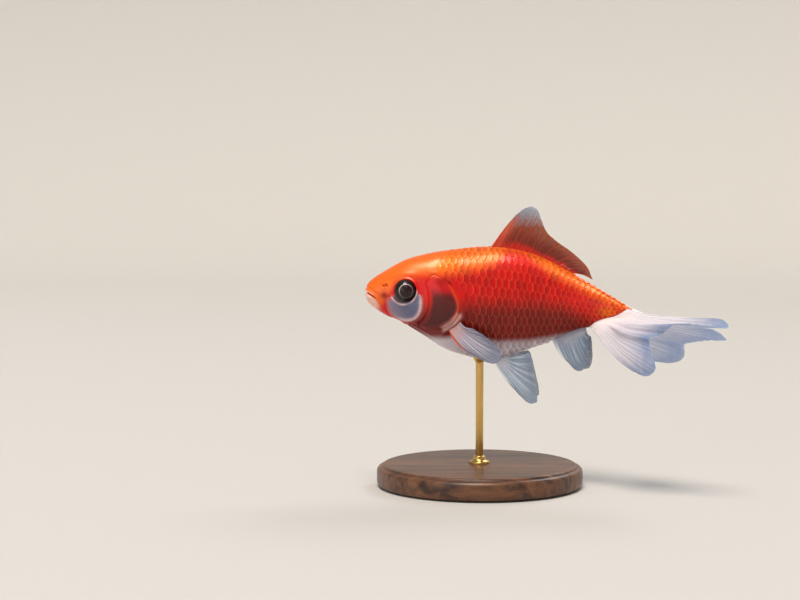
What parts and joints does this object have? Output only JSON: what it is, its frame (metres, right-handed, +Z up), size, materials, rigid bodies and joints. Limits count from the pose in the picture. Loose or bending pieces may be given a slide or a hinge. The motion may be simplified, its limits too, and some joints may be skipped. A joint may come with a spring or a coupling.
{
  "type": "goldfish model on display stand",
  "caption": "Still, life-size model of an orange goldfish with pale fins and a double tail, swimming in a gentle curve, held by a rod on a round wooden base.",
  "frame": {"origin": "centre of the stand base's flat underside, which rests on the surface", "axes": "+Z up; the fish's snout points to -X, its tail to +X, and its left side faces -Y"},
  "size_m": [0.1077, 0.0654, 0.0869],
  "materials": {
    "body_skin": "wet, scaled orange skin shading to white under the belly",
    "eye": "glossy clear cornea over a dark iris with a thin bright ring",
    "dorsal_web": "translucent orange web with fine rays and a pale tip",
    "fin_web": "translucent white web with fine branching rays",
    "stand_wood": "turned walnut, oiled",
    "stand_brass": "drawn brass rod, satin"
  },
  "bodies": {
    "root": {"head": "body_skin", "lower_jaw": "body_skin", "gill_cover_left": "body_skin", "gill_cover_right": "body_skin", "trunk": "body_skin", "tail_stalk": "body_skin", "eye_left": "eye", "eye_right": "eye", "dorsal_fin": "dorsal_web", "pectoral_fin_left": "fin_web", "pectoral_fin_right": "fin_web", "pelvic_fin_left": "fin_web", "pelvic_fin_right": "fin_web", "anal_fin_left": "fin_web", "anal_fin_right": "fin_web", "tail_fin_left": "fin_web", "tail_fin_right": "fin_web", "stand_base": "stand_wood", "stand_rod": "stand_brass", "stand_collar": "stand_brass"}
  },
  "joints": []
}
